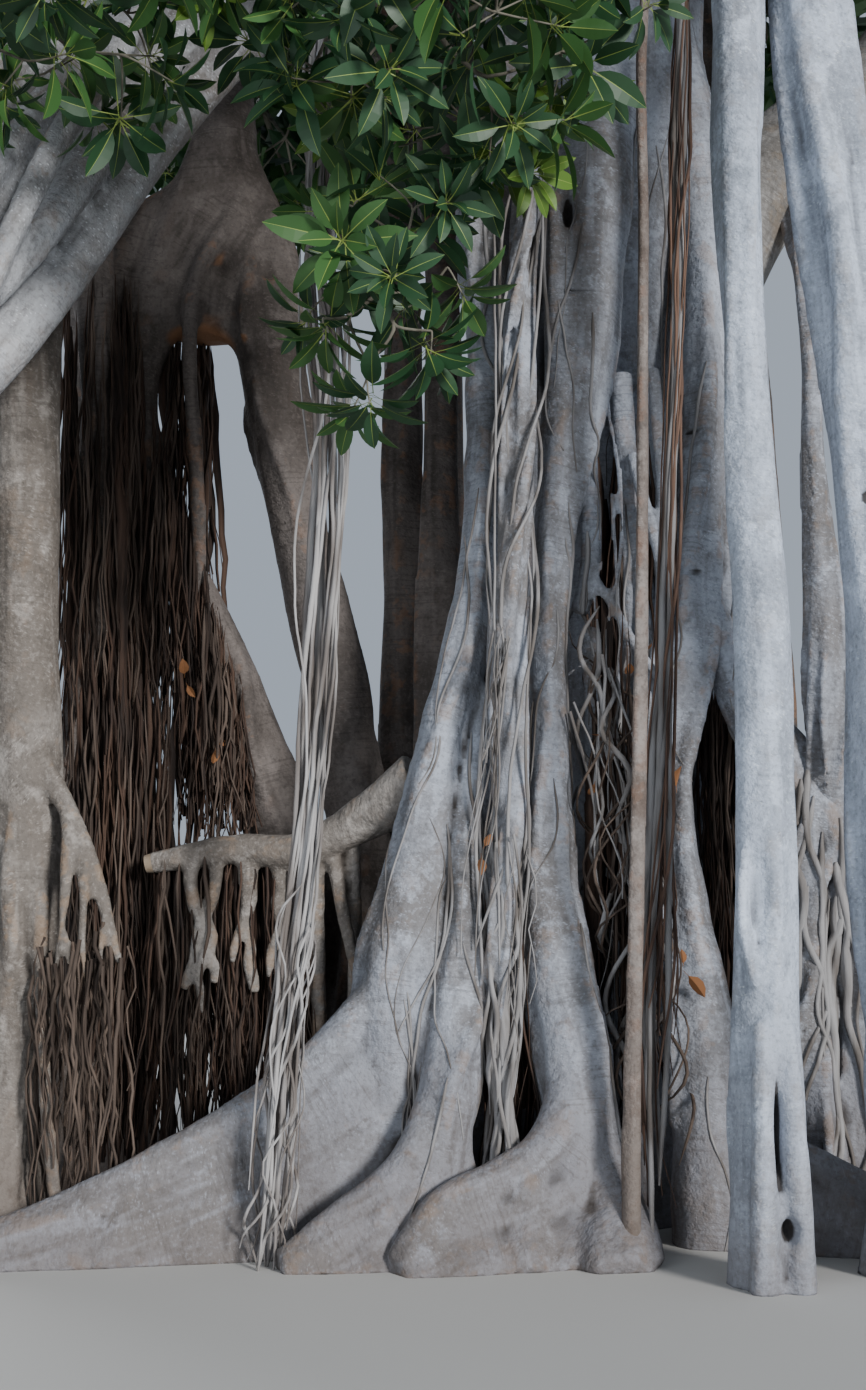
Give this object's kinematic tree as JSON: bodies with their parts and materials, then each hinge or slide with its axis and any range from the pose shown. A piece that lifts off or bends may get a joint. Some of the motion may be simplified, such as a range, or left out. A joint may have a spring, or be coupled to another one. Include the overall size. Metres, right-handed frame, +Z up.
{
  "type": "strangler fig tree",
  "caption": "Old strangler fig: a trunk of fused roots with plank roots, an arched side stem, prop roots and hanging roots under a broad dense evergreen crown.",
  "frame": {"origin": "on the flat cut under the trunk, at ground level, near the middle of the trunk's roots", "axes": "+Z up; -Y is the side seen first, +X to the right of it"},
  "size_m": [16.049, 15.9228, 15.9185],
  "materials": {
    "bark_grey": "smooth light grey bark with fine wrinkles and pores",
    "bark_brown": "brown-grey bark in shade, smooth with warts and pale specks",
    "root_pale": "pale grey hanging roots, fibrous and twisted",
    "root_dark": "dark rust-brown fibrous roots",
    "foliage": "glossy dark green leaves with pale midribs"
  },
  "bodies": {
    "root": {"arch_stem": "bark_brown", "back_bough": "bark_grey", "back_column_a": "bark_brown", "back_column_b": "bark_brown", "back_column_c": "bark_brown", "back_column_d": "bark_brown", "back_mass": "foliage", "back_right_bough": "bark_grey", "back_right_mass": "foliage", "back_stem_a": "bark_brown", "back_stem_b": "bark_brown", "far_right_column": "bark_grey", "front_left_bough": "bark_grey", "front_left_mass": "foliage", "front_right_bough": "bark_grey", "front_right_mass": "foliage", "leaning_stem": "bark_grey", "left_back_bough": "bark_grey", "left_back_mass": "foliage", "left_column": "bark_grey", "left_front_bough": "bark_grey", "left_front_mass": "foliage", "left_root_curtain": "root_dark", "left_spray": "foliage", "left_spray_branch": "bark_grey", "low_root_curtain": "root_dark", "middle_root_curtain": "root_dark", "middle_spray": "foliage", "middle_spray_branch": "bark_grey", "pale_root_bundle": "root_pale", "pendant_spray": "foliage", "pendant_spray_branch": "bark_grey", "pole_root": "root_pale", "pole_root_bundle": "root_pale", "right_bough": "bark_grey", "right_column": "bark_grey", "right_front_bough": "bark_grey", "right_front_mass": "foliage", "right_mass": "foliage", "slim_left_stem": "bark_brown", "slim_right_stem": "bark_grey", "stub_branch": "bark_brown", "top_bough": "bark_grey", "top_mass": "foliage", "trunk": "bark_grey", "trunk_root_bundle": "root_pale", "upper_back_bough": "bark_grey", "upper_back_mass": "foliage", "upper_front_bough": "bark_grey", "upper_front_mass": "foliage", "upper_left_bough": "bark_grey", "upper_left_mass": "foliage", "upper_right_bough": "bark_grey", "upper_right_mass": "foliage"}
  },
  "joints": []
}
